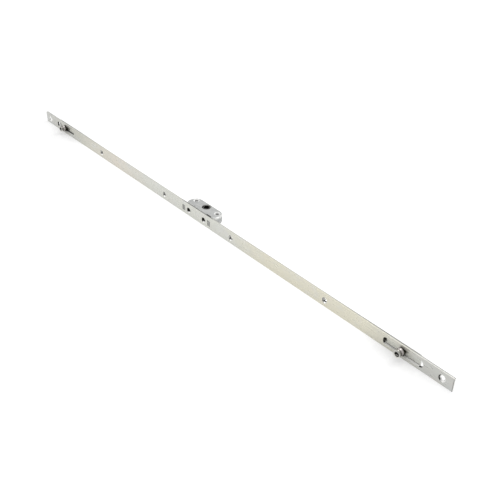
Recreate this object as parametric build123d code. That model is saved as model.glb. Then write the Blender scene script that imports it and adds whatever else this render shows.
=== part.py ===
"""Window cremone bolt: a slotted faceplate, a geared spindle case and a sliding rod with two rollers.

The spindle axis is +Z and passes through the origin, the faceplate runs along X and its front
face looks towards -Y. Lengths are in millimetres.
"""
import os
from math import acos, cos, degrees, pi, radians, sin, sqrt, tan

from build123d import *

# Faceplate
plate_length = 790.0
plate_width = 16.0
plate_thickness = 2.5
plate_corner_radius = 0.8
strip_edge_rounding = 0.3
backset = 17.0
end_hole_inset = 13.0
end_hole_diameter = 5.0
end_sink_diameter = 8.4
outer_screw_x = 227.5
inner_screw_x = 69.0

# Roller slots in the faceplate
slot_inset = 60.4
slot_length = 50.0
slot_width = 8.0
slot_chamfer = 0.5
slot_chamfer_degrees = 45.0

# Drive rod; at rest it stands a little to the left of the middle of its stroke
rod_rest_x = -1.4
rod_width = 13.0
rod_thickness = 2.0
rod_overhang = 21.5
rod_corner_radius = 2.5

# Spindle hub and its gear
spindle_square = 7.0
hub_wall = 1.0
hub_recess = 0.3
hub_edge_chamfer = 0.3
handle_turn_degrees = 90.0
teeth_per_turn = 16
sector_teeth = 5
pressure_angle = radians(20.0)
addendum_share = 0.86
dedendum_share = 1.1
tooth_backlash = 0.12

# Rack on the rod
rack_base = 0.7
rack_end_land = 0.5
peg_length = 3.0
peg_height = 2.6
peg_z = 2.4

# Case, in two halves that meet on the middle plane
case_thickness = 11.0
case_wall = 1.2
case_cover = 1.4
case_back_radius = 10.5
case_front_radius = 7.0
case_edge_fillet = 1.5
bevel_depth = 0.7
bevel_width = 2.4
slit_width = 1.1
slit_length = 9.0
slit_inset = 0.8

# Tenons of the case, staked in the faceplate
tenon_length = 5.0
tenon_height = 7.5
tenon_gap = 2.9
tenon_shoulder = 0.6
tenon_recess = 0.3

# Handle screws and the eyelets round them
handle_screw_spacing = 43.0
handle_hole_diameter = 5.2
eyelet_wall = 0.6
eyelet_rim_width = 0.9
eyelet_rim_height = 0.45
eyelet_rim_chamfer = 0.2
eyelet_mouth_depth = 1.0
eyelet_mouth_flare = 0.8
eyelet_post_wall = 1.3

# Screws that pass through the faceplate and the case
through_hole_diameter = 4.4
through_sink_diameter = 7.2
tunnel_wall = 1.1
tunnel_gap = 0.8

# Bushes that carry the rod
bush_bore = 4.4
bush_diameter = 6.4
bush_sink_diameter = 6.8
bush_flare = 0.6
bush_flange_diameter = 9.6
bush_flange_thickness = 1.2

# Rollers
stem_diameter = 7.8
tail_diameter = 6.0
tail_head_diameter = 7.8
tail_head_height = 0.8
collar_diameter = 9.4
collar_thickness = 1.3
collar_chamfer = 0.35
eccentricity = 1.0
axle_diameter = 5.0
sleeve_diameter = 8.8
sleeve_length = 4.0
sleeve_chamfer = 0.3
cap_diameter = 9.4
cap_thickness = 2.5
cap_shank_diameter = 2.6
cap_shank_length = 2.4
cap_front_rounding = 0.8
cap_back_chamfer = 0.3
socket_across_flats = 4.0
socket_depth = 1.6
washer_diameter = 9.4
washer_thickness = 1.0

# Clearances, and one overrun for every cut
running_clearance = 0.05
sliding_clearance = 0.1
staked_clearance = 0.02
face_gap = 0.2
travel_clearance = 0.4
overrun = 1.0

# Planes along Y, from the front of the faceplate to the back of the rod
front_y = -backset
plate_back_y = front_y + plate_thickness
rod_front_y = plate_back_y + face_gap
rod_back_y = rod_front_y + rod_thickness

# Gear: the pitch line lies as far from the spindle as the rack on the rod allows
rack_depth_share = 1 + 2 * dedendum_share / teeth_per_turn
pitch_radius = (-rod_back_y - rack_base) / rack_depth_share
gear_module = 2 * pitch_radius / teeth_per_turn
tooth_pitch = pi * gear_module
addendum = addendum_share * gear_module
dedendum = dedendum_share * gear_module
tip_radius = pitch_radius + addendum
root_radius = pitch_radius - dedendum
base_radius = pitch_radius * cos(pressure_angle)
half_stroke = pitch_radius * radians(handle_turn_degrees) / 2

# Hub and case sizes that follow from the spindle and the gear
hub_radius = spindle_square / sqrt(2) + hub_wall
inner_half_height = case_thickness / 2 - case_cover
gear_half_height = inner_half_height - face_gap
rack_half_length = (sector_teeth + 1) * tooth_pitch / 2 + rack_end_land
through_radius = through_hole_diameter / 2
tunnel_half_width = through_radius + tunnel_wall
through_x = tip_radius + tunnel_gap + tunnel_half_width
tenon_x = rack_half_length + half_stroke + tenon_gap + tenon_length / 2
case_half_length = tenon_x + tenon_length / 2 + tenon_shoulder
case_inner_back_y = hub_radius + face_gap + running_clearance
case_back_y = case_inner_back_y + case_wall
case_front_y = rod_back_y + sliding_clearance

# Places along X
plate_half_length = plate_length / 2
end_hole_x = plate_half_length - end_hole_inset
roller_x = plate_half_length - slot_inset
rod_half_length = roller_x + rod_overhang
handle_screw_x = handle_screw_spacing / 2
bush_places = {"inner_left": -inner_screw_x, "inner_right": inner_screw_x,
               "outer_left": -outer_screw_x, "outer_right": outer_screw_x}
sides = {"left": -1, "right": 1}


def block(low, high):
    """Box between two opposite corners."""
    size = [b - a for a, b in zip(low, high)]
    centre = [(a + b) / 2 for a, b in zip(low, high)]
    return Pos(*centre) * Box(*size)


def turned_y(points):
    """Solid turned about the Y axis from (radius, y) corner points."""
    return revolve(make_face(Polyline(*points, close=True)), axis=Axis.Y)


def turned_z(points):
    """Solid turned about the Z axis from (radius, z) corner points."""
    return revolve(Plane.XZ * make_face(Polyline(*points, close=True)), axis=Axis.Z)


def rod_y(radius, low_y, high_y):
    """Round bar along Y between two planes."""
    return turned_y([(0, low_y), (radius, low_y), (radius, high_y), (0, high_y)])


def slot_cut(centre_x, length, width, low_y, high_y):
    """Round-ended slot through a strip that faces along Y."""
    outline = Plane.XZ * SlotOverall(length, width)
    return Pos(centre_x, high_y, 0) * extrude(outline, high_y - low_y)


def slot_bevel(centre_x):
    """Coined bevel along the front edge of a roller slot."""
    outline = Plane.XZ * SlotOverall(slot_length, slot_width)
    bevel = extrude(outline, slot_chamfer, taper=-slot_chamfer_degrees)
    return Pos(centre_x, front_y + slot_chamfer, 0) * bevel


def on_side(shape, side):
    """A shape drawn for the right side, or its mirror image for the left."""
    return shape if side > 0 else mirror(shape, about=Plane.YZ)


def rounded_strip(strip):
    """A rolled strip, its front and back outlines slightly rounded."""
    layers = strip.edges().group_by(Axis.Y)
    return fillet(layers[0] + layers[-1], strip_edge_rounding)


def sunk_hole(bore_radius, sink_radius):
    """Countersunk hole through the faceplate, with its cone at the front."""
    cone_depth = sink_radius - bore_radius
    return turned_y([(0, front_y - overrun), (sink_radius, front_y - overrun), (sink_radius, front_y),
                     (bore_radius, front_y + cone_depth), (bore_radius, plate_back_y + overrun),
                     (0, plate_back_y + overrun)])


def faceplate():
    """Punched strip with square ends and softly broken corners."""
    low = (-plate_half_length, front_y, -plate_width / 2)
    high = (plate_half_length, plate_back_y, plate_width / 2)
    plate = block(low, high)
    plate = fillet(plate.edges().filter_by(Axis.Y), plate_corner_radius)
    plate = rounded_strip(plate)
    bush_radius = bush_diameter / 2 + staked_clearance
    for side in sides.values():
        plate -= Pos(side * end_hole_x, 0, 0) * sunk_hole(end_hole_diameter / 2, end_sink_diameter / 2)
        plate -= Pos(side * through_x, 0, 0) * sunk_hole(through_radius, through_sink_diameter / 2)
        plate -= slot_cut(side * roller_x, slot_length, slot_width, front_y - overrun, plate_back_y + overrun)
        plate -= slot_bevel(side * roller_x)
        window_x = tenon_length / 2 + staked_clearance
        window_z = tenon_height / 2 + staked_clearance
        plate -= Pos(side * tenon_x, 0, 0) * block((-window_x, front_y - overrun, -window_z),
                                                   (window_x, plate_back_y + overrun, window_z))
    for place in bush_places.values():
        plate -= Pos(place, 0, 0) * sunk_hole(bush_radius, bush_radius + bush_flare)
    return plate


def drive_rod():
    """Sliding strip with slots round the bushes and windows round the tenons and case screws."""
    rod = block((-rod_half_length, rod_front_y, -rod_width / 2), (rod_half_length, rod_back_y, rod_width / 2))
    rod = fillet(rod.edges().filter_by(Axis.Y), rod_corner_radius)
    rod = rounded_strip(rod)
    low_y = rod_front_y - overrun
    high_y = rod_back_y + overrun
    bush_slot_width = bush_diameter + 2 * sliding_clearance
    for place in bush_places.values():
        rod -= slot_cut(place, bush_slot_width + 2 * (half_stroke + travel_clearance), bush_slot_width,
                        low_y, high_y)
    screw_near = screw_notch_start()
    tenon_near = tenon_x - tenon_length / 2 - half_stroke - travel_clearance
    tenon_far = tenon_x + tenon_length / 2 + half_stroke + travel_clearance
    tenon_z = tenon_height / 2 + travel_clearance
    screw_z = screw_notch_half_height()
    for side in sides.values():
        window = block((screw_near, low_y, -screw_z), (tenon_far, high_y, screw_z))
        window += block((tenon_near, low_y, -tenon_z), (tenon_far, high_y, tenon_z))
        rod -= on_side(window, side)
        rod -= Pos(side * roller_x, 0, 0) * rod_y(tail_diameter / 2 + running_clearance, low_y, high_y)
        peg_x = peg_length / 2 + staked_clearance
        peg_low = peg_z - peg_height / 2 - staked_clearance
        peg_high = peg_z + peg_height / 2 + staked_clearance
        rod -= block((-peg_x, low_y, min(side * peg_low, side * peg_high)),
                     (peg_x, high_y, max(side * peg_low, side * peg_high)))
    return rod


def screw_notch_start():
    """Nearest X that a case screw reaches in the moving rod and rack."""
    return through_x - through_radius - half_stroke - travel_clearance


def screw_notch_half_height():
    """Half the height of the notch that clears the case screws."""
    return through_radius + travel_clearance


def rack_outline():
    """Rack profile in the XY plane: straight flanks at the pressure angle, with a gap at X = 0."""
    tip_y = -pitch_radius + addendum
    root_y = -pitch_radius - dedendum
    half_pitch_thickness = tooth_pitch / 4 - tooth_backlash / 2
    half_tip = half_pitch_thickness - addendum * tan(pressure_angle)
    half_root = half_pitch_thickness + dedendum * tan(pressure_angle)
    points = [(-rack_half_length, rod_back_y), (-rack_half_length, root_y)]
    for index in range(sector_teeth + 1):
        centre = (index - sector_teeth / 2) * tooth_pitch
        points += [(centre - half_root, root_y), (centre - half_tip, tip_y),
                   (centre + half_tip, tip_y), (centre + half_root, root_y)]
    points += [(rack_half_length, root_y), (rack_half_length, rod_back_y)]
    return points


def rack():
    """Toothed bar on the back of the rod, held by two pegs staked flush with the rod's front."""
    profile = make_face(Polyline(*rack_outline(), close=True))
    bar = Pos(0, 0, -gear_half_height) * extrude(profile, 2 * gear_half_height)
    start = screw_notch_start()
    notch_z = screw_notch_half_height()
    for side in sides.values():
        near, far = sorted((side * start, side * (rack_half_length + overrun)))
        notch_back_y = -pitch_radius + addendum + overrun
        bar -= block((near, rod_back_y - overrun, -notch_z), (far, notch_back_y, notch_z))
        low, high = sorted((side * (peg_z - peg_height / 2), side * (peg_z + peg_height / 2)))
        bar += block((-peg_length / 2, rod_front_y, low), (peg_length / 2, rod_back_y, high))
    return bar


def involute(angle):
    """Involute function of a pressure angle."""
    return tan(angle) - angle


def flank_point(radius, tooth_angle, side):
    """Point of an involute flank, measured from the -Y direction."""
    half_thickness = (tooth_pitch / 2 - tooth_backlash) / (2 * pitch_radius)
    local_angle = acos(min(1.0, base_radius / radius))
    half_angle = half_thickness + involute(pressure_angle) - involute(local_angle)
    angle = tooth_angle + side * half_angle
    return (radius * sin(angle), -radius * cos(angle))


def tooth(index):
    """One involute tooth of the sector, joined to the disc inside its root."""
    tooth_angle = 2 * pi * index / teeth_per_turn
    flank_start = max(base_radius, root_radius)
    middle = (flank_start + tip_radius) / 2
    left = [flank_point(radius, tooth_angle, -1) for radius in (flank_start, middle, tip_radius)]
    right = [flank_point(radius, tooth_angle, 1) for radius in (tip_radius, middle, flank_start)]
    inner_scale = (root_radius - hub_wall) / flank_start
    inner_left = tuple(inner_scale * value for value in left[0])
    inner_right = tuple(inner_scale * value for value in right[-1])
    crown = (tip_radius * sin(tooth_angle), -tip_radius * cos(tooth_angle))
    outline = Wire([Line(inner_left, left[0]), ThreePointArc(*left), ThreePointArc(left[-1], crown, right[0]),
                    ThreePointArc(*right), Line(right[-1], inner_right), Line(inner_right, inner_left)])
    return make_face(outline)


def sector_face():
    """Disc sector that carries the teeth, as wide as the toothed arc."""
    half_angle = pi * sector_teeth / teeth_per_turn
    start = (-root_radius * sin(half_angle), -root_radius * cos(half_angle))
    end = (root_radius * sin(half_angle), -root_radius * cos(half_angle))
    outline = Wire([Line((0, 0), start), ThreePointArc(start, (0, -root_radius), end), Line(end, (0, 0))])
    return make_face(outline)


def hub_sector():
    """Spindle hub with a toothed sector towards the rod and a square socket, half-way through its turn."""
    face = sector_face()
    for index in range(-(sector_teeth // 2), sector_teeth // 2 + 1):
        face += tooth(index)
    gear = Pos(0, 0, -gear_half_height) * extrude(face, 2 * gear_half_height)
    hub_half_height = case_thickness / 2 - hub_recess
    rim = hub_radius - hub_edge_chamfer
    hub = gear + turned_z([(0, -hub_half_height), (rim, -hub_half_height),
                           (hub_radius, -hub_half_height + hub_edge_chamfer),
                           (hub_radius, hub_half_height - hub_edge_chamfer), (rim, hub_half_height),
                           (0, hub_half_height)])
    socket = Box(spindle_square, spindle_square, case_thickness + overrun)
    return hub - Rot(0, 0, handle_turn_degrees / 2) * socket


def case_outline():
    """Plan of the case: straight front and back with rounded corners, larger at the back."""
    depth = case_back_y - case_front_y
    plan = Pos(0, (case_back_y + case_front_y) / 2) * Rectangle(2 * case_half_length, depth)
    back = plan.vertices().group_by(Axis.Y)[-1]
    plan = fillet(back, case_back_radius)
    front = plan.vertices().group_by(Axis.Y)[0]
    return fillet(front, case_front_radius)


def case_half(opening_side):
    """Upper half of the die-cast case; opening_side adds the slit over the rack's end."""
    half_height = case_thickness / 2
    plan = case_outline()
    shell = extrude(plan, half_height)
    rims = [edge for edge in shell.faces().sort_by(Axis.Z)[-1].edges()
            if edge.center().Y > case_front_y + case_front_radius / 2]
    shell = fillet(rims, case_edge_fillet)
    inner = offset(plan, -case_wall)
    shell -= extrude(inner, inner_half_height)
    mouth_x = tenon_x - tenon_length / 2 - travel_clearance
    shell -= block((-mouth_x, case_front_y - overrun, -overrun),
                   (mouth_x, -pitch_radius + addendum + travel_clearance, inner_half_height))
    bevel = make_face(Polyline((case_front_y - overrun, half_height + overrun),
                               (case_front_y - overrun, half_height - bevel_depth),
                               (case_front_y, half_height - bevel_depth),
                               (case_front_y + bevel_width, half_height),
                               (case_front_y + bevel_width, half_height + overrun), close=True))
    shell -= Pos(-case_half_length, 0, 0) * extrude(Plane.YZ * bevel, 2 * case_half_length)

    eyelet_radius = handle_hole_diameter / 2 + eyelet_wall + staked_clearance
    post_radius = eyelet_radius + eyelet_post_wall
    tunnel_front = -pitch_radius + addendum + travel_clearance
    for side in sides.values():
        shell += Pos(side * handle_screw_x, 0, 0) * extrude(Circle(post_radius), inner_half_height)
        tunnel = block((side * through_x - tunnel_half_width, tunnel_front, 0),
                       (side * through_x + tunnel_half_width, case_inner_back_y, tunnel_half_width))
        foot = block((side * tenon_x - tenon_length / 2, front_y + tenon_recess, 0),
                     (side * tenon_x + tenon_length / 2, 0, tenon_height / 2))
        shell += tunnel + foot
    for side in sides.values():
        shell -= Pos(side * handle_screw_x, 0, 0) * extrude(Circle(eyelet_radius), half_height + overrun)
        shell -= Pos(side * through_x, 0, 0) * rod_y(through_radius, case_front_y, case_back_y + overrun)
    shell -= extrude(Circle(hub_radius + running_clearance), half_height + overrun)
    if opening_side:
        slit_y = case_front_y + slit_inset
        slit_x = opening_side * (through_x - slit_width)
        shell -= block((slit_x, slit_y, inner_half_height - overrun),
                       (slit_x + slit_length, slit_y + slit_width, half_height + overrun))
    return shell


def case_upper():
    """Half that faces the handle, with the slit over the rack's right end."""
    return case_half(sides["right"])


def case_lower():
    """Plain half, the mirror image across the joint plane."""
    return mirror(case_half(0), about=Plane.XY)


def eyelet():
    """Tubular rivet along Z with both ends rolled over the case."""
    bore = handle_hole_diameter / 2
    tube = bore + eyelet_wall
    half_height = case_thickness / 2
    crest = half_height + eyelet_rim_height
    throat = crest - eyelet_mouth_depth
    mouth = bore + eyelet_mouth_flare
    rim = tube + eyelet_rim_width
    rim_flat = rim - eyelet_rim_chamfer
    shoulder = crest - eyelet_rim_chamfer
    return turned_z([(bore, -throat), (mouth, -crest), (rim_flat, -crest), (rim, -shoulder),
                     (rim, -half_height), (tube, -half_height), (tube, half_height), (rim, half_height),
                     (rim, shoulder), (rim_flat, crest), (mouth, crest), (bore, throat)])


def rod_bush():
    """Flanged bush staked in the faceplate: the rod slides under its flange, a screw goes through it."""
    bore = bush_bore / 2
    shank = bush_diameter / 2
    sink = bush_sink_diameter / 2
    flange = bush_flange_diameter / 2
    flange_y = rod_back_y + sliding_clearance
    flange_back_y = flange_y + bush_flange_thickness
    return turned_y([(bore, front_y + sink - bore), (sink, front_y), (shank + bush_flare, front_y),
                     (shank, front_y + bush_flare), (shank, flange_y), (flange, flange_y),
                     (flange, flange_back_y), (bore, flange_back_y)])


# Planes of the roller along Y, from the faceplate outwards
collar_back_y = front_y - sliding_clearance
collar_front_y = collar_back_y - collar_thickness
sleeve_back_y = collar_front_y - running_clearance
sleeve_front_y = sleeve_back_y - sleeve_length
cap_back_y = sleeve_front_y - running_clearance
cap_front_y = cap_back_y - cap_thickness


def roller_post():
    """Post with a tail riveted through the rod, a stem in the slot, a collar and an eccentric axle."""
    tail = tail_diameter / 2
    head = tail_head_diameter / 2
    washer_back_y = rod_back_y + 2 * running_clearance + washer_thickness
    head_y = washer_back_y + running_clearance
    collar = collar_diameter / 2
    stem_y = rod_front_y - running_clearance
    post = turned_y([(0, collar_front_y), (collar - collar_chamfer, collar_front_y),
                     (collar, collar_front_y + collar_chamfer), (collar, collar_back_y),
                     (stem_diameter / 2, collar_back_y), (stem_diameter / 2, stem_y), (tail, stem_y),
                     (tail, head_y), (head, head_y), (head - tail_head_height / 2, head_y + tail_head_height),
                     (0, head_y + tail_head_height)])
    post += Pos(0, 0, eccentricity) * rod_y(axle_diameter / 2, cap_back_y, collar_front_y)
    shank_hole = cap_shank_diameter / 2 + staked_clearance
    shank_end_y = cap_back_y + cap_shank_length + staked_clearance
    return post - Pos(0, 0, eccentricity) * rod_y(shank_hole, cap_back_y - overrun, shank_end_y)


def roller_sleeve():
    """Sleeve that rolls on the eccentric axle, its edges broken."""
    bore = axle_diameter / 2 + running_clearance
    outer = sleeve_diameter / 2
    return Pos(0, 0, eccentricity) * turned_y([
        (bore, sleeve_front_y), (outer - sleeve_chamfer, sleeve_front_y),
        (outer, sleeve_front_y + sleeve_chamfer), (outer, sleeve_back_y - sleeve_chamfer),
        (outer - sleeve_chamfer, sleeve_back_y), (bore, sleeve_back_y)])


def roller_cap():
    """Mushroom head pressed into the axle, with a rounded rim and a hexagon socket."""
    outer = cap_diameter / 2
    shank = cap_shank_diameter / 2
    cap = turned_y([(0, cap_front_y), (outer, cap_front_y), (outer, cap_back_y - cap_back_chamfer),
                    (outer - cap_back_chamfer, cap_back_y), (shank, cap_back_y),
                    (shank, cap_back_y + cap_shank_length), (0, cap_back_y + cap_shank_length)])
    cap = fillet(cap.edges().group_by(Axis.Y)[0], cap_front_rounding)
    socket = extrude(Plane.XZ * RegularPolygon(socket_across_flats / sqrt(3), 6), socket_depth + overrun)
    return Pos(0, 0, eccentricity) * (cap - Pos(0, cap_front_y + socket_depth, 0) * socket)


def post_washer():
    """Washer between the rod and the riveted end of the post."""
    bore = tail_diameter / 2 + running_clearance
    near_y = rod_back_y + running_clearance
    far_y = near_y + washer_thickness
    outer = washer_diameter / 2
    return turned_y([(bore, near_y), (outer, near_y), (outer, far_y), (bore, far_y)])


def export(shape, name):
    """Write one piece under its own name."""
    export_step(shape, f"parts/{name}.step")


os.makedirs("parts", exist_ok=True)
export(faceplate(), "faceplate")
rod_at_rest = Pos(rod_rest_x, 0, 0)
hub_at_rest = Rot(0, 0, degrees(rod_rest_x / pitch_radius))
export(rod_at_rest * drive_rod(), "drive_rod")
export(rod_at_rest * rack(), "rack")
export(hub_at_rest * hub_sector(), "hub_sector")
export(case_upper(), "case_upper")
export(case_lower(), "case_lower")
for place, x in bush_places.items():
    export(Pos(x, 0, 0) * rod_bush(), f"rod_bush_{place}")
for name, side in sides.items():
    at_roller = rod_at_rest * Pos(side * roller_x, 0, 0)
    export(Pos(side * handle_screw_x, 0, 0) * eyelet(), f"eyelet_{name}")
    export(at_roller * roller_post(), f"roller_post_{name}")
    export(at_roller * roller_sleeve(), f"roller_sleeve_{name}")
    export(at_roller * roller_cap(), f"roller_cap_{name}")
    export(at_roller * post_washer(), f"post_washer_{name}")
print(f"stroke {2 * half_stroke:.3f} mm, of which {half_stroke + rod_rest_x:.3f} mm to the left of rest")
print(f"pitch radius {pitch_radius:.4f} mm, hub turned {degrees(rod_rest_x / pitch_radius):.3f} degrees at rest")
print(f"through screws at {through_x:.2f} mm, tenons at {tenon_x:.2f} mm")
print(f"case {2 * case_half_length:.2f} mm long")
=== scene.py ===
"""Window cremone bolt in zinc-plated steel, with its finishes, floor and studio light."""
from math import cos, radians, sin

import bpy
from mathutils import Matrix, Vector


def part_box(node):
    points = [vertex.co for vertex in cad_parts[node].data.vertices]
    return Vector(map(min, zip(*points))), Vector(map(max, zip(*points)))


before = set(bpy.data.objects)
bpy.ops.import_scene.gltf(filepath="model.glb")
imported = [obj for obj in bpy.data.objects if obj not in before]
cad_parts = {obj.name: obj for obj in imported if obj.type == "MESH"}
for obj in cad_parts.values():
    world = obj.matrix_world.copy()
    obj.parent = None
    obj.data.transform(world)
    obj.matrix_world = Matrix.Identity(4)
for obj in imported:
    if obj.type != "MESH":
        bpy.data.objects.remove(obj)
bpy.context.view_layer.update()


# Camera
# The bolt lies a long arm's reach away, seen from the front of its right half and from above.
# The right end is the near one, so the strip runs down across the picture.
plate_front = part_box("faceplate")[0].y
camera_turn = radians(49.161)
camera_height = radians(33.462)
camera_roll = radians(1.0)
camera_distance = 0.866188
camera_aim = Vector((0.105056, plate_front, 0.001356))
lens_length = 53.43
film_width = 36.0

upwards = Vector((0.0, 0.0, 1.0))
level_right = Vector((cos(camera_turn), sin(camera_turn), 0.0))
back = cos(camera_height) * level_right.cross(upwards) + sin(camera_height) * upwards
level_up = back.cross(level_right)
right = cos(camera_roll) * level_right + sin(camera_roll) * level_up
up = cos(camera_roll) * level_up - sin(camera_roll) * level_right
bpy.ops.object.camera_add()
camera = bpy.context.object
camera.name = "photo_camera"
camera.data.sensor_width = film_width
camera.data.lens = lens_length
stand = Matrix((right, up, back)).transposed().to_4x4()
stand.translation = camera_aim + camera_distance * back
camera.matrix_world = stand
bpy.context.scene.camera = camera
bpy.context.scene.view_settings.view_transform = "Standard"


# Floor, backdrop and lamps
# The bolt stands on the lower long edge of its faceplate, on a white floor in a pale room with four
# soft lamps. Polished metal sees the low right side of the room as darker, and the bolt's shadow
# shows most under its two ends.
class Shade:
    """One socket of a finish. Sums, products and the like of it add the Math nodes that they need."""

    def __init__(self, tree, socket=None):
        self.tree = tree
        self.socket = socket

    def add(self, kind, settings, inputs, output=0):
        """A new node: its settings are set first, then its sockets get values or links."""
        node = self.tree.nodes.new(kind)
        for name, value in settings.items():
            if name == "stops":
                ramp = node.color_ramp
                while len(ramp.elements) < len(value):
                    ramp.elements.new(1.0)
                for element, (position, colour) in zip(ramp.elements, value):
                    element.position = position
                    element.color = (*colour, 1.0)
            else:
                setattr(node, name, value)
        for name, value in inputs.items():
            if isinstance(value, Shade):
                self.tree.links.new(value.socket, node.inputs[name])
            elif isinstance(value, tuple) and len(value) == 3 and node.inputs[name].type == "RGBA":
                node.inputs[name].default_value = (*value, 1.0)
            else:
                node.inputs[name].default_value = value
        return Shade(self.tree, node.outputs[output] if node.outputs else None)

    def maths(self, operation, *values):
        """A Math node with that operation on those values."""
        return self.add("ShaderNodeMath", {"operation": operation}, dict(enumerate(values)))

    def either(self, other):
        """The larger of the two."""
        return self.maths("MAXIMUM", self, other)

    def __add__(self, other):
        return self.maths("ADD", self, other)

    def __sub__(self, other):
        return self.maths("SUBTRACT", self, other)

    def __rsub__(self, other):
        return self.maths("SUBTRACT", other, self)

    def __mul__(self, other):
        return self.maths("MULTIPLY", self, other)

    def __pow__(self, other):
        return self.maths("POWER", self, other)

    def __abs__(self):
        return self.maths("ABSOLUTE", self)

    __radd__ = __add__
    __rmul__ = __mul__


def rays(shade, *kinds):
    """One for a ray of any of these kinds, and nought for the others."""
    path = shade.add("ShaderNodeLightPath", {}, {}).socket.node.outputs
    found = Shade(shade.tree, path[kinds[0]])
    for kind in kinds[1:]:
        found = found.either(Shade(shade.tree, path[kind]))
    return found


def rise(value, low, high, least=0.0, most=1.0):
    """Steady rise from least to most while the value goes from low to high."""
    return value.add("ShaderNodeMapRange", {}, {
        "Value": value, "From Min": low, "From Max": high, "To Min": least, "To Max": most})


def part_of(place, axis):
    """One coordinate of a place."""
    return place.add("ShaderNodeSeparateXYZ", {}, {"Vector": place}, axis)


camera_ray, glossy_ray, glass_ray = "Is Camera Ray", "Is Glossy Ray", "Is Transmission Ray"
white = (1.0, 1.0, 1.0)
room_light = 0.66
bright_towards = Vector((-0.62, 0.45, 0.62)).normalized()
dark_side = 0.22
dark_cosine = -0.35
bright_cosine = 0.65
room = bpy.data.worlds.new("white_room")
room.use_nodes = True
room.node_tree.nodes.clear()
room_start = Shade(room.node_tree)
direction = room_start.add("ShaderNodeTexCoord", {}, {}, "Generated")
towards = room_start.add("ShaderNodeVectorMath", {"operation": "DOT_PRODUCT"},
                         {0: direction, 1: bright_towards}, "Value")
mirrored = rise(towards, dark_cosine, bright_cosine, dark_side, 1.0)
seen = rays(room_start, camera_ray, glass_ray)
polished = rays(room_start, glossy_ray)
unseen = 1.0 - rays(room_start, camera_ray, glossy_ray, glass_ray)
room_strength = seen + polished * mirrored + unseen * room_light
room_colour = room_start.add("ShaderNodeBackground", {}, {"Color": white, "Strength": room_strength})
room_start.add("ShaderNodeOutputWorld", {}, {"Surface": room_colour})
bpy.context.scene.world = room

floor_size = 6.0
floor_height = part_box("faceplate")[0].z
floor_white = (0.9, 0.9, 0.9)
floor_glow = 1.26
middle_shadow = 0.3
end_shadow = 0.50
end_shadow_from = 0.270
end_shadow_full = 0.330
roller_shadow = 0.16
roller_shadow_x = 0.325
roller_shadow_core = 0.01625
roller_shadow_reach = 0.0455
shadow_full_reach = 0.06
shadow_reach = 0.12
bpy.ops.object.select_all(action="DESELECT")
bpy.ops.mesh.primitive_plane_add(size=floor_size, location=(0.0, 0.0, floor_height))
floor = bpy.context.object
floor.name = "floor"
floor_finish = bpy.data.materials.new("white_floor")
floor_finish.use_nodes = True
floor_finish.node_tree.nodes.clear()
floor_start = Shade(floor_finish.node_tree)
painted = floor_start.add("ShaderNodeBsdfDiffuse", {}, {"Color": floor_white})
glowing = floor_start.add("ShaderNodeEmission", {}, {"Color": white, "Strength": floor_glow})
floor_place = floor_start.add("ShaderNodeTexCoord", {}, {}, "Object")
along_floor, across_floor = (abs(part_of(floor_place, axis)) for axis in "XY")
below_ends = rise(along_floor, end_shadow_from, end_shadow_full, middle_shadow, end_shadow)
from_roller = abs(along_floor - roller_shadow_x)
below_roller = rise(from_roller, roller_shadow_core, roller_shadow_reach, roller_shadow, 0.0)
shadow_share = (below_ends + below_roller) * rise(across_floor, shadow_reach, shadow_full_reach)
seen_floor = floor_start.add("ShaderNodeMixShader", {}, {"Fac": shadow_share, 1: glowing, 2: painted})
whole_floor = floor_start.add("ShaderNodeMixShader", {}, {
    "Fac": rays(floor_start, camera_ray, glossy_ray, glass_ray), 1: painted, 2: seen_floor})
floor_start.add("ShaderNodeOutputMaterial", {}, {"Surface": whole_floor})
floor.data.materials.append(floor_finish)


def soft_lamp(name, position, size, power):
    """A square lamp of that size, aimed at the middle of the bolt."""
    bpy.ops.object.light_add(type="AREA", location=position)
    lamp = bpy.context.object
    lamp.name = name
    lamp.data.size = size
    lamp.data.energy = power
    lamp.rotation_euler = Vector(position).to_track_quat("Z", "Y").to_euler()


soft_lamp("lamp_overhead", position=(0.05, 0.35, 1.25), size=0.9, power=4.0)
soft_lamp("lamp_behind", position=(0.20, 0.82, 0.99), size=0.30, power=2.2)
soft_lamp("lamp_left", position=(-1.0, -0.9, 1.0), size=0.7, power=2.0)
soft_lamp("lamp_right", position=(1.3, 0.05, 0.5), size=0.8, power=2.6)


# Faceplate
# Cold-rolled steel strip, punched, zinc plated and passivated in a thin film that turns from grey to
# faint gold along the strip. The screws' seats are painted near white, as burnish and painted
# highlight, with painted shade at their left rims and round the mouths of the bores. The slots' ends
# get painted shade, the walls of holes and slots are painted pale as sheared steel and painted light,
# and the long edges' back corners and the front end corners get dark lines of dirt and painted shade.
relief_strength = 0.6


def metal(name, colour, roughness, height, depth, metallic):
    """A metal finish: all but its name and the depth of its relief are functions of a first shade."""
    finish = bpy.data.materials.new(name)
    finish.use_nodes = True
    finish.node_tree.nodes.clear()
    start = Shade(finish.node_tree)
    relief = start.add("ShaderNodeBump", {}, {
        "Strength": relief_strength, "Distance": depth, "Height": height(start)})
    body = start.add("ShaderNodeBsdfPrincipled", {}, {
        "Base Color": colour(start),
        "Roughness": roughness(start),
        "Metallic": metallic(start),
        "Normal": relief})
    start.add("ShaderNodeOutputMaterial", {}, {"Surface": body})
    return finish


def dress(node, finish):
    """Give a node one finish all over."""
    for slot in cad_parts[node].material_slots:
        slot.material = finish


def spot(start, centre=(0.0, 0.0, 0.0)):
    """Place on the piece, in metres from a centre."""
    place = start.add("ShaderNodeTexCoord", {}, {}, "Object")
    away = tuple(-part for part in centre)
    return start.add("ShaderNodeMapping", {}, {"Vector": place, "Location": away})


def from_middle(start, node):
    """The place from the middle of a node and half of its size."""
    low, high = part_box(node)
    return spot(start, tuple((low + high) / 2)), (high - low) / 2


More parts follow.
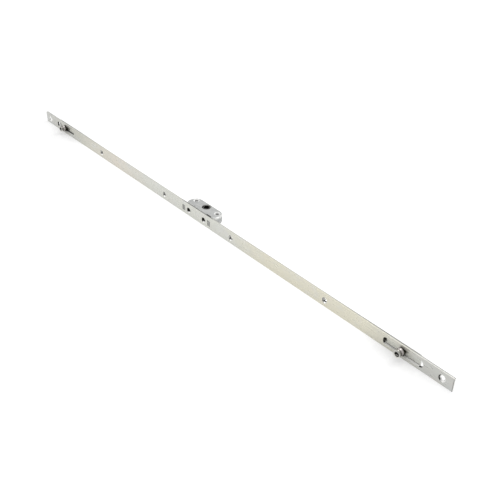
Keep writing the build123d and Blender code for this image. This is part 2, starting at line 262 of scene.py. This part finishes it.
def radius_about(place, axis):
    """Distance of a place from the line along one axis."""
    first, second = (part_of(place, name) for name in "XYZ" if name != axis)
    return (first ** 2.0 + second ** 2.0) ** 0.5


def band(value, low, high):
    """One from low to high, and nought from a hair outside them."""
    return rise(value, low - hair, low) * rise(value, high + hair, high)


def pattern(start, cells, stretch=(1.0, 1.0, 1.0), detail=2.0):
    """Noise between nought and one, with about that many cells per metre."""
    place = start.add("ShaderNodeTexCoord", {}, {}, "Object")
    moved = start.add("ShaderNodeMapping", {}, {"Vector": place, "Scale": stretch})
    return start.add("ShaderNodeTexNoise", {}, {"Vector": moved, "Scale": cells, "Detail": detail})


def waver(start, reach, **noise):
    """Such noise about nought, by up to half of reach each way."""
    return (pattern(start, **noise) - 0.5) * reach


def patches(start, low, high, **noise):
    """Soft-edged patches of such noise: nought where it is under low, and one where it is over high."""
    return rise(pattern(start, **noise), low, high)


def blend(share, first, second):
    """Between two colours, by a share from nought to one."""
    return share.add("ShaderNodeMix", {"data_type": "RGBA"},
                     {"Factor": share, "A": first, "B": second}, "Result")


hair = 0.00015
end_zinc = (0.575, 0.576, 0.545)
straw_zinc = (0.610, 0.604, 0.530)
rose_zinc = (0.695, 0.652, 0.568)
pale_zinc = (0.660, 0.664, 0.612)
gold_zinc = (0.715, 0.688, 0.565)
plate_film = [(0.02, end_zinc), (0.15, straw_zinc), (0.26, rose_zinc), (0.37, pale_zinc),
              (0.57, pale_zinc), (0.67, gold_zinc), (0.86, gold_zinc), (0.96, end_zinc)]
film_wander = dict(reach=0.06, cells=14.0, stretch=(1.0, 5.0, 5.0), detail=3.0)
blue_film = (0.635, 0.660, 0.680)
blue_patches = dict(cells=55.0, stretch=(1.0, 2.0, 2.0), detail=3.0, low=0.52, high=0.74)
pink_film = (0.720, 0.655, 0.620)
pink_patches = dict(cells=38.0, stretch=(1.3, 3.0, 3.0), detail=3.0, low=0.55, high=0.78)
film_cover = 0.4
rolling_lines = dict(cells=2600.0, stretch=(0.012, 1.0, 1.0), detail=3.0)
streak_zinc = (0.500, 0.500, 0.465)
streak_low = 0.3
streak_high = 0.75
streak_cover = 0.18
streak_depth = 0.000012
# Pale walls of holes and slots: sheared steel, and painted light against the shade in them.
sheared_and_lit_zinc = (0.900, 0.900, 0.880)
edge_width = 0.0003
# Dark lines of dirt and painted shade along the strips' back edges and at the front end corners.
edge_dirt_and_shade = (0.110, 0.110, 0.100)
edge_dirt_and_shade_width = 0.0006
middle_edge_shade = 0.2
end_shade_from_share = 0.6
end_shade_full_share = 0.85
case_shade_full_x = 0.028025
case_shade_end_x = 0.0354
corner_shade = 0.85


def rolled_streaks(start):
    """Fine lines that the rolls leave along the strip."""
    return pattern(start, **rolling_lines)


def long_edge(start, node):
    """One along the back corners of a strip's long edges, most towards its ends and beside the case:
    where a dark line of dirt and painted shade goes.
    """
    place, half = from_middle(start, node)
    outside = rise(abs(part_of(place, "Z")), half.z - 2.0 * edge_width, half.z - edge_width)
    along = abs(part_of(place, "X"))
    end_from, end_full = end_shade_from_share * half.x, end_shade_full_share * half.x
    towards_ends = rise(along, end_from, end_full, middle_edge_shade)
    beside_case = rise(along, case_shade_end_x, case_shade_full_x)
    at_back = rise(part_of(place, "Y"), half.y - 1.5 * edge_dirt_and_shade_width, half.y - edge_dirt_and_shade_width)
    return outside * towards_ends.either(beside_case) * at_back


def sheared_walls(start, node):
    """One on the walls of the punched holes and slots, which lie between the strip's two faces."""
    place, half = from_middle(start, node)
    inside = rise(abs(part_of(place, "Z")), half.z - edge_width, half.z - 2.0 * edge_width)
    return inside * rise(abs(part_of(place, "Y")), half.y - 0.5 * edge_width, half.y - edge_width)


def strip_colour(start, node, film):
    """Passivated zinc on a rolled strip: its film's colours follow one another from end to end."""
    place, half = from_middle(start, node)
    along = rise(part_of(place, "X"), -half.x, half.x) + waver(start, **film_wander)
    zinc = start.add("ShaderNodeValToRGB", {"stops": film}, {"Fac": along})
    zinc = blend(patches(start, **blue_patches) * film_cover, zinc, blue_film)
    zinc = blend(patches(start, **pink_patches) * film_cover, zinc, pink_film)
    zinc = blend(rise(rolled_streaks(start), streak_low, streak_high) * streak_cover, zinc, streak_zinc)
    # The walls are painted pale, as sheared steel and as painted light against their shade.
    zinc = blend(sheared_walls(start, node), zinc, sheared_and_lit_zinc)
    # A dark line of dirt and painted shade along the back corners of the long edges.
    return blend(long_edge(start, node), zinc, edge_dirt_and_shade)


# Seats: near white as burnish and painted highlight; the dark in holes and slots is painted shade.
burnished_and_highlight = (0.950, 0.945, 0.930)
hole_shade = (0.022, 0.021, 0.016)
seat_depth = 0.0055
rim_blur_share = 0.12
rim_shade_from_share = 0.3
rim_shade_full_share = 0.5
screw_x = 0.0154
screw_sink = 0.0036
screw_throat = 0.0022
screw_unshaded_share = 0.56
end_hole_x = 0.382
end_sink = 0.0042
end_throat = 0.0025
end_unshaded_share = {-1.0: 1.0, 1.0: 0.68}


def in_seat(place, sink):
    """One in a countersunk hole with a mouth of that radius, by the place from the mouth's middle."""
    inside = band(part_of(place, "Y"), hair, seat_depth - hair)
    return inside * rise(radius_about(place, "Y"), sink + hair, sink)


def seat(start, skin, centre_x, sink, bore, shade_reach, unshaded_share):
    """A screw's seat: a cone painted near white as burnish and painted highlight, and painted shade
    at its left rim and round the mouth of its bore.
    """
    place = spot(start, (centre_x, plate_front, 0.0))
    inside = in_seat(place, sink)
    rim = rise(radius_about(place, "Y"), unshaded_share * sink, (unshaded_share + rim_blur_share) * sink)
    rim = rim * rise(part_of(place, "X"), -rim_shade_from_share * sink, -rim_shade_full_share * sink)
    mouth = sink - bore - 2.0 * hair
    throat = band(part_of(place, "Y"), mouth + hair, mouth + shade_reach)
    return blend(inside * rim.either(throat), blend(inside, skin, burnished_and_highlight), hole_shade)


slot_middle_x = 0.3346
slot_half_length = 0.025
# Painted shade at the slots' left ends and at the foot of the right slot's right end.
slot_end_shade = 0.0020
slot_end_shade_full = 0.0014
foot_shade = 0.0045
foot_shade_top = -0.0020
foot_shade_full = -0.0024


def slot_shade(start):
    """One in painted shade at the slots' left ends and at the foot of the right slot's right end."""
    place = from_middle(start, "faceplate")[0]
    along = part_of(place, "X")
    right_end = slot_middle_x + slot_half_length
    shaded = band(along, right_end - foot_shade, right_end)
    shaded = shaded * rise(part_of(place, "Z"), foot_shade_top, foot_shade_full)
    for side in (-1.0, 1.0):
        left_end = side * slot_middle_x - slot_half_length
        fading = rise(along, left_end + slot_end_shade, left_end + slot_end_shade_full)
        shaded = shaded.either(rise(along, left_end - hair, left_end) * fading)
    return shaded * sheared_walls(start, "faceplate")


def plate_colour(start):
    """The strip's film, with the seats of its screws, painted shade in its slots, and front end
    corners darkened with dirt and painted shade.
    """
    skin = strip_colour(start, "faceplate", plate_film)
    for side in (-1.0, 1.0):
        skin = seat(start, skin, side * screw_x, screw_sink, screw_throat, seat_depth, screw_unshaded_share)
        skin = seat(start, skin, side * end_hole_x, end_sink, end_throat, 0.0, end_unshaded_share[side])
    skin = blend(slot_shade(start), skin, hole_shade)
    # The front face's end corners get the same dark of dirt and painted shade.
    place, half = from_middle(start, "faceplate")
    corner = rise(abs(part_of(place, "X")), half.x - 3.0 * edge_width, half.x - edge_width)
    corner = corner * rise(part_of(place, "Y"), edge_width - half.y, 0.5 * edge_width - half.y)
    return blend(corner * corner_shade, skin, edge_dirt_and_shade)


satin = 0.20
satin_noise = dict(cells=90.0, stretch=(1.0, 2.0, 2.0))
patch_roughness = 0.12
streak_roughness = 0.06
sheared_roughness = 0.25
strip_shine = 0.62
sheared_loss = 0.42
seat_shine = 0.7


def strip_roughness(node):
    """Satin, a little uneven in patches and along the rolling lines, and matt where it was sheared."""
    def roughness(start):
        marks = pattern(start, **satin_noise) * patch_roughness + rolled_streaks(start) * streak_roughness
        return satin + marks + sheared_walls(start, node) * sheared_roughness
    return roughness


def strip_metal(node):
    """Less of a mirror where it was sheared."""
    return lambda start: strip_shine - sheared_walls(start, node) * sheared_loss


def plate_metal(start):
    """The strip's, with the burnished seats of its screws mirror-like."""
    shine = strip_metal("faceplate")(start)
    for side in (-1.0, 1.0):
        for centre_x, sink in ((side * screw_x, screw_sink), (side * end_hole_x, end_sink)):
            shine = shine + in_seat(spot(start, (centre_x, plate_front, 0.0)), sink) * seat_shine
    return shine


dress("faceplate", metal("passivated_zinc", plate_colour, strip_roughness("faceplate"), rolled_streaks,
                         streak_depth, plate_metal))


# Drive rod
# The same strip in a thinner gauge, passivated an even straw colour. Its face is painted lighter
# towards both sides of the rollers' track, as painted light where the slots' walls shade it. Dark
# lines of grease and painted shade run along the track's lower side, most towards the case, and a
# spot of painted shade sits at the right slot's left end.
rod_end = (0.650, 0.652, 0.585)
rod_middle = (0.650, 0.640, 0.575)
rod_film = [(0.0, rod_end), (0.3, rod_middle), (0.7, rod_middle), (1.0, rod_end)]
# Painted light: the rod's face is lightened towards the slots' edges, where their walls shade it.
lit_track_zinc = (0.920, 0.915, 0.890)
track_half_width = 0.0040
track_light_width = 0.0026
# Dark lines of grease and painted shade along the track, and a spot of painted shade.
rod_grease_and_shade = (0.020, 0.020, 0.015)
grease_shade_cover = 0.9
shade_core_share = 0.8
inner_shade_width = {-1.0: 0.0022, 1.0: 0.0004}
outer_shade_width = {-1.0: 0.0009, 1.0: 0.0001}
dark_spot_centre = Vector((0.3098, 0.0, 0.0))
dark_spot_radius = 0.0032
dark_spot_blur = 0.0010
dark_spot_rag = dict(reach=dark_spot_blur, cells=500.0)


def greased_and_shaded(start, front):
    """One in the lines of grease and painted shade along the track and in the spot of painted
    shade, on the rod's front face.
    """
    place = spot(start)
    height = part_of(place, "Z")
    dark_spot = radius_about(spot(start, dark_spot_centre), "Y") + waver(start, **dark_spot_rag)
    darkened = rise(dark_spot, dark_spot_radius, dark_spot_radius - dark_spot_blur)
    for side in (-1.0, 1.0):
        reach = part_of(place, "X") * side
        inner = band(reach, hair, slot_middle_x - hair)
        outer = rise(reach, slot_middle_x - hair, slot_middle_x)
        for part, width in ((inner, inner_shade_width[side]), (outer, outer_shade_width[side])):
            core = shade_core_share * width
            line = rise(height, width - track_half_width, core - track_half_width)
            darkened = darkened.either(part * line)
    return front * darkened


def rod_colour(start):
    """The strip's film, painted light on the sides of the rollers' track, and grease and painted shade."""
    place = from_middle(start, "drive_rod")[0]
    front = rise(part_of(place, "Y"), 0.0, -hair)
    aside = abs(part_of(place, "Z"))
    lit_sides = rise(aside, track_half_width - track_light_width, track_half_width)
    lit_sides = lit_sides * rise(aside, track_half_width + 2.0 * hair, track_half_width + hair)
    skin = blend(front * lit_sides, strip_colour(start, "drive_rod", rod_film), lit_track_zinc)
    return blend(greased_and_shaded(start, front) * grease_shade_cover, skin, rod_grease_and_shade)


dress("drive_rod", metal("rod_zinc", rod_colour, strip_roughness("drive_rod"), rolled_streaks, streak_depth,
                         strip_metal("drive_rod")))


# Case halves
# Two shells of die-cast zinc alloy with a fine matt skin, which meet on the middle plane and are
# held by the eyelets. The skin has faint flow marks and a thin dark seam on the middle plane. The gap
# behind the rod and the lines beside the tenons are painted shade, the screw bores and the slit are
# darkened with dirt and painted shade, and the rounded ends have a painted highlight on their upper
# edges and painted shade on their lower ones.
cast_grey = (0.445, 0.453, 0.448)
cast_light = (0.540, 0.545, 0.535)
flow_marks = dict(cells=120.0, stretch=(1.0, 2.5, 1.0), detail=4.0, low=0.35, high=0.7)
cast_pit = (0.250, 0.255, 0.250)
pits = dict(cells=1100.0, detail=5.0, low=0.52, high=0.72)
pit_cover = 0.55
seam_grey = (0.120, 0.120, 0.115)
seam_width = 0.00012
shadow_dirt = (0.020, 0.020, 0.018)
screw_bore = 0.0024
screw_bore_blur = 0.0002
slit_low = Vector((0.0142, -0.0119, -0.0060))
slit_high = Vector((0.0234, -0.0101, 0.0057))


def inside_box(place, low, high):
    """One between two corners of a box, and nought from a hair outside it."""
    sides = [band(part_of(place, axis), least, most) for axis, least, most in zip("XYZ", low, high)]
    return sides[0] * sides[1] * sides[2]


def cast_skin(start):
    """Zinc alloy with flow marks and fine pits, darker at the seam, in the screw bores and in the slit."""
    skin = blend(patches(start, **flow_marks), cast_grey, cast_light)
    skin = blend(patches(start, **pits) * pit_cover, skin, cast_pit)
    place = spot(start)
    skin = blend(rise(abs(part_of(place, "Z")), seam_width, seam_width / 2), skin, seam_grey)
    for side in (-1.0, 1.0):
        radius = radius_about(spot(start, (side * screw_x, 0.0, 0.0)), "Y")
        skin = blend(rise(radius, screw_bore + screw_bore_blur, screw_bore), skin, shadow_dirt)
    return blend(inside_box(place, slit_low, slit_high), skin, shadow_dirt)


# Painted highlight on the upper edges of the case's rounded ends.
end_edge_highlight = (0.860, 0.862, 0.845)
end_highlight_cover = 0.9
end_highlight_from_x = 0.0200
end_highlight_full_x = 0.0270
lit_edge_low = 0.0030
lit_edge_low_full = 0.0036
lit_edge_high_full = 0.0051
lit_edge_high = 0.0054
under_shade = 0.7
under_top = -0.0030
under_full = -0.0048
rod_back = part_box("drive_rod")[1].y
# Painted shade in the gap behind the rod, broken into dashes.
joint_line = 0.00045
joint_line_end = 0.00075
joint_gaps = dict(cells=450.0, stretch=(1.0, 0.02, 0.02), low=0.3, high=0.5)
tenon_grey = (0.380, 0.382, 0.370)
# Painted shade in the gaps beside the tenons.
tenon_gap_shade = (0.110, 0.110, 0.100)
tenon_middle_x = 0.02592
tenon_clean = 0.0013
tenon_depth = 0.001


def cast_colour(start):
    """The skin, with a painted highlight on the ends' upper edges, painted shade on their lower edges
    and in the gap behind the rod, and the darker tenons with painted shade beside them.
    """
    place = spot(start)
    away = abs(part_of(place, "X"))
    height = part_of(place, "Z")
    depth = part_of(place, "Y")
    end = rise(away, end_highlight_from_x, end_highlight_full_x)
    edge = rise(height, lit_edge_low, lit_edge_low_full) * rise(height, lit_edge_high, lit_edge_high_full)
    skin = blend(end * edge * end_highlight_cover, cast_skin(start), end_edge_highlight)
    skin = blend(end * rise(height, under_top, under_full) * under_shade, skin, cast_pit)
    joint = rise(depth, rod_back + joint_line_end, rod_back + joint_line) * rise(height, 0.0, lit_edge_low)
    skin = blend(joint * patches(start, **joint_gaps), skin, shadow_dirt)
    on_tenon = rise(depth, plate_front + 1.5 * tenon_depth, plate_front + tenon_depth)
    lined = rise(abs(away - tenon_middle_x), tenon_clean, tenon_clean + 2.0 * hair)
    return blend(on_tenon, skin, blend(lined, tenon_grey, tenon_gap_shade))


def uneven(least, spread, **noise):
    """A finish's value that noise lifts from least by up to spread."""
    return lambda start: least + pattern(start, **noise) * spread


cast_grain = dict(cells=1700.0, detail=3.0)
cast_waves = dict(cells=420.0)
wave_share = 0.6
cast_relief = 0.00003
cast_roughness = uneven(least=0.42, spread=0.14, cells=260.0)
cast_shine = uneven(least=0.6, spread=0.1, cells=260.0)


def cast_height(start):
    """A fine grain on low waves, as the mould leaves it."""
    return pattern(start, **cast_grain) + pattern(start, **cast_waves) * wave_share


cast_zinc = metal("cast_zinc", cast_colour, cast_roughness, cast_height, cast_relief, cast_shine)
for node in ("case_upper", "case_lower"):
    dress(node, cast_zinc)


# Hub
# Sintered steel, phosphated nearly black, with the mouth of its socket rubbed lighter by the
# handle's spindle, and a painted highlight on the far side of its rim.
hub_black = (0.012, 0.012, 0.011)
hub_rubbed = (0.240, 0.240, 0.225)
# Painted highlight on the far side of the hub's rim.
hub_rim_highlight = (0.500, 0.495, 0.460)
hub_middle_turn = 7.866
socket_turn = radians(45.0 - hub_middle_turn)
socket_half = 0.0035
rub_width = 0.0006
rubbed_patches = dict(cells=900.0, low=0.25, high=0.6)
face_from = 0.0048
face_full = 0.0051
rim_highlight_radius = 0.0050
hub_roughness = uneven(least=0.40, spread=0.2, cells=1500.0)
hub_shine = uneven(least=0.7, spread=0.1, cells=900.0)
hub_pores = dict(cells=3500.0)
hub_relief = 0.00004


def hub_colour(start):
    """Black, with a worn edge round the socket and a painted highlight on the far rim, both on
    the hub's two faces.
    """
    place = start.add("ShaderNodeTexCoord", {}, {}, "Object")
    face = rise(abs(part_of(place, "Z")), face_from, face_full)
    turned_place = start.add("ShaderNodeMapping", {}, {"Vector": place, "Rotation": (0.0, 0.0, -socket_turn)})
    across, along = (abs(part_of(turned_place, axis)) for axis in "XY")
    edge = rise(across.either(along), socket_half + rub_width, socket_half + 0.5 * rub_width)
    skin = blend(edge * face * patches(start, **rubbed_patches), hub_black, hub_rubbed)
    rim = rise(radius_about(place, "Z"), rim_highlight_radius, rim_highlight_radius + 2.0 * hair)
    far_side = rise(part_of(place, "Y"), 0.0, 0.5 * rim_highlight_radius)
    return blend(face * rim * far_side, skin, hub_rim_highlight)


def hub_height(start):
    """The pores of sintered steel."""
    return pattern(start, **hub_pores)


dress("hub_sector", metal("phosphated_hub", hub_colour, hub_roughness, hub_height, hub_relief, hub_shine))


# Rack
# Steel bar with machined teeth, staked to the rod. It is bright, with the cutter's lines across it
# and a little dark grease left at the teeth.
rack_bright = (0.160, 0.158, 0.150)
rack_greased = (0.040, 0.034, 0.024)
rack_grease = dict(cells=350.0, low=0.5, high=0.65)
cutter_marks = dict(cells=3200.0, stretch=(1.0, 1.0, 0.03))
cutter_relief = 0.00002
rack_roughness = uneven(least=0.24, spread=0.15, **cutter_marks)
rack_shine = 0.9
grease_loss = 0.4


def cutter_lines(start):
    """Fine lines that the milling cutter leaves."""
    return pattern(start, **cutter_marks)


def rack_colour(start):
    """Bright steel under patches of grease."""
    return blend(patches(start, **rack_grease), rack_bright, rack_greased)


def rack_metal(start):
    """Bright, and less of a mirror under the grease."""
    return rack_shine - patches(start, **rack_grease) * grease_loss


dress("rack", metal("milled_rack", rack_colour, rack_roughness, cutter_lines, cutter_relief, rack_metal))


# Eyelets
# Tubular rivets of soft steel, bright plated, that hold the case together. Their rolled mouths are
# burnished by the closing punch, which leaves faint rings; further in the tubes are duller and
# painted dark as painted shade.
rings_per_metre = 4000.0
ring_detail = 2.0
ring_low = 0.35
ring_high = 0.65
ring_roughness = 0.1
ring_relief = 0.000012
stains = dict(cells=420.0, detail=3.0, low=0.55, high=0.75)
stain_cover = 0.35
stain_darkness = 0.75
stain_loss = 0.3
matt_loss = 0.5


def rings(place, axis):
    """Uneven rings about the turning axis, as a tool or a punch leaves them."""
    return place.add("ShaderNodeTexNoise", {"noise_dimensions": "1D"}, {
        "W": radius_about(place, axis), "Scale": rings_per_metre, "Detail": ring_detail})


def unmarked(start, skin):
    """The skin as it is."""
    return skin


def turned(name, node, axis, dull, bright, roughness, mark=unmarked, mirror=0.85, matt=None):
    """Finish of a turned piece, with rings about its own axis and marks of its own, put on that piece."""
    def tool_rings(start):
        return rings(from_middle(start, node)[0], axis)

    def colour(start):
        skin = blend(rise(tool_rings(start), ring_low, ring_high), dull, bright)
        stain = tuple(stain_darkness * part for part in dull)
        return mark(start, blend(patches(start, **stains) * stain_cover, skin, stain))

    def metallic(start):
        shine = mirror - patches(start, **stains) * stain_loss
        return shine - matt(start) * matt_loss if matt else shine

    def ringed_roughness(start):
        return roughness + tool_rings(start) * ring_roughness

    dress(node, metal(name, colour, ringed_roughness, tool_rings, ring_relief, metallic))


eyelet_dull = (0.860, 0.860, 0.850)
eyelet_bright = (0.930, 0.930, 0.920)
# Painted shade deep in the eyelets' tubes.
eyelet_deep_shade = (0.050, 0.048, 0.042)
eyelet_deep_shade_radius = 0.0026
eyelet_unshaded_radius = 0.00286
eyelet_unshaded_depth = 0.0020
eyelet_deep_shade_depth = 0.0026
eyelet_matt_radius = 0.00312
eyelet_mirror_radius = 0.00351


def eyelet_marks(node):
    """Painted shade deep in the tube."""
    def mark(start, skin):
        place, half = from_middle(start, node)
        deep = rise(abs(part_of(place, "Z")), half.z - eyelet_unshaded_depth, half.z - eyelet_deep_shade_depth)
        on_wall = rise(radius_about(place, "Z"), eyelet_unshaded_radius, eyelet_deep_shade_radius)
        return blend(deep * on_wall, skin, eyelet_deep_shade)
    return mark


def eyelet_tube(node):
    """One inside the tube, which is duller than its rims."""
    def mask(start):
        radius = radius_about(from_middle(start, node)[0], "Z")
        return rise(radius, eyelet_mirror_radius, eyelet_matt_radius)
    return mask


for side in ("left", "right"):
    node = f"eyelet_{side}"
    turned(f"eyelet_plating_{side}", node, "Z", eyelet_dull, eyelet_bright, roughness=0.20,
           mark=eyelet_marks(node), mirror=0.5, matt=eyelet_tube(node))


# Rod bushes
# Turned steel, zinc plated, staked into the faceplate from its front so that the rod slides under
# their flanges. Their cones are painted near white, as burnish and painted highlight, with painted
# shade at their left rims and round the mouths of the bores.
bush_dull = (0.620, 0.618, 0.580)
bush_bright = (0.720, 0.716, 0.670)
bush_sink = 0.0034
bush_bore = 0.0022
# Painted shade round the mouths of the bushes' bores.
bush_shade_reach = 0.0014
bush_unshaded_share = 0.76


def bush_marks(node):
    """The seat of a screw in the middle of the bush."""
    centre_x = sum(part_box(node), Vector()).x / 2

    def mark(start, skin):
        return seat(start, skin, centre_x, bush_sink, bush_bore, bush_shade_reach, bush_unshaded_share)
    return mark


for place_name in ("inner_left", "inner_right", "outer_left", "outer_right"):
    node = f"rod_bush_{place_name}"
    turned(f"bush_plating_{place_name}", node, "Y", bush_dull, bush_bright, roughness=0.16,
           mark=bush_marks(node))


# Roller posts
# Eccentric posts turned from bar, with their tails riveted through the rod. Collar and tail are
# chromated to a dark olive.
post_dark = (0.016, 0.015, 0.010)
post_olive = (0.045, 0.042, 0.030)
for side in ("left", "right"):
    turned(f"post_chromate_{side}", f"roller_post_{side}", "Y", post_dark, post_olive, roughness=0.28)


# Roller sleeves
# Short tubes of bearing steel, turned and lightly oiled, free to roll on the posts. A ring of
# painted shade darkens the end next to the cap.
sleeve_dull = (0.430, 0.402, 0.386)
sleeve_bright = (0.740, 0.698, 0.675)
# Painted shade where the sleeve meets the cap.
sleeve_end_shade = (0.050, 0.046, 0.040)
end_shade_width = 0.00070
end_shade_reach = 0.00098


def sleeve_marks(node):
    """A ring of painted shade at the end next to the cap."""
    def mark(start, skin):
        place, half = from_middle(start, node)
        shaded_end = rise(part_of(place, "Y"), end_shade_reach - half.y, end_shade_width - half.y)
        return blend(shaded_end, skin, sleeve_end_shade)
    return mark


for side in ("left", "right"):
    node = f"roller_sleeve_{side}"
    turned(f"sleeve_steel_{side}", node, "Y", sleeve_dull, sleeve_bright, roughness=0.26,
           mark=sleeve_marks(node), mirror=0.4)


# Roller caps
# Mushroom heads with a hexagon socket, turned, bright plated and pressed into the posts. Their
# barrels are duller than their faces, with a painted highlight on top. The lower half of each face is
# painted lighter as painted light, and the sockets are painted dark as painted shade but for their
# lower wall, which gets a painted highlight.
cap_dull = (0.460, 0.455, 0.425)
cap_bright = (0.580, 0.575, 0.545)
cap_barrel = (0.200, 0.192, 0.168)
# Painted highlight on top of the cap's barrel.
barrel_top_highlight = (0.300, 0.290, 0.262)
barrel_radius = 0.0045
# Painted light on the lower half of the cap's face.
lit_rim = (0.700, 0.690, 0.650)
socket_shade = (0.016, 0.015, 0.010)
# Painted highlight on the socket's lower wall.
socket_flat_highlight = (0.950, 0.940, 0.900)
mouth_radius = 0.00270
mouth_blur_radius = 0.00297
# The painted shade of the socket's mouth sits off its centre.
mouth_centre = (0.0007, 0.0, 0.0002)
flat_top = -0.0016
flat_full = -0.0018
flat_radius = 0.0024
flat_blur_radius = 0.0025


def lit_lower_flat(node):
    """One on the lower wall of the socket, where a painted highlight goes."""
    def mask(start):
        place, half = from_middle(start, node)
        wall = rise(part_of(place, "Z"), flat_top, flat_full)
        wall = wall * rise(part_of(place, "Y"), hair - half.y, 2.0 * hair - half.y)
        return wall * rise(radius_about(place, "Y"), flat_blur_radius, flat_radius)
    return mask


def cap_marks(node):
    """A dull barrel with a painted highlight on top, painted light on the lower half of the face,
    and a socket of painted shade with a painted highlight on its lower flat.
    """
    def mark(start, skin):
        place = from_middle(start, node)[0]
        height = part_of(place, "Z")
        barrel = blend(rise(height, 0.0, 0.5 * barrel_radius), cap_barrel, barrel_top_highlight)
        skin = blend(rise(radius_about(place, "Y"), barrel_radius, barrel_radius + hair), skin, barrel)
        front = rise(part_of(place, "Y"), 0.0, -hair)
        skin = blend(front * rise(height, 0.0, -0.5 * mouth_radius), skin, lit_rim)
        off_centre = tuple(-part for part in mouth_centre)
        off_centre_place = place.add("ShaderNodeMapping", {}, {"Vector": place, "Location": off_centre})
        mouth = rise(radius_about(off_centre_place, "Y"), mouth_blur_radius, mouth_radius)
        return blend(lit_lower_flat(node)(start), blend(mouth, skin, socket_shade), socket_flat_highlight)
    return mark


for side in ("left", "right"):
    node = f"roller_cap_{side}"
    turned(f"cap_plating_{side}", node, "Y", cap_dull, cap_bright, roughness=0.24,
           mark=cap_marks(node), mirror=0.8, matt=lit_lower_flat(node))


# Post washers
# Stamped steel rings behind the rod, zinc plated. The tails of the posts are riveted over them, and
# a post can still be turned with a key.
washer_dull = (0.500, 0.500, 0.470)
washer_bright = (0.620, 0.620, 0.590)
for side in ("left", "right"):
    turned(f"washer_plating_{side}", f"post_washer_{side}", "Y", washer_dull, washer_bright, roughness=0.24)
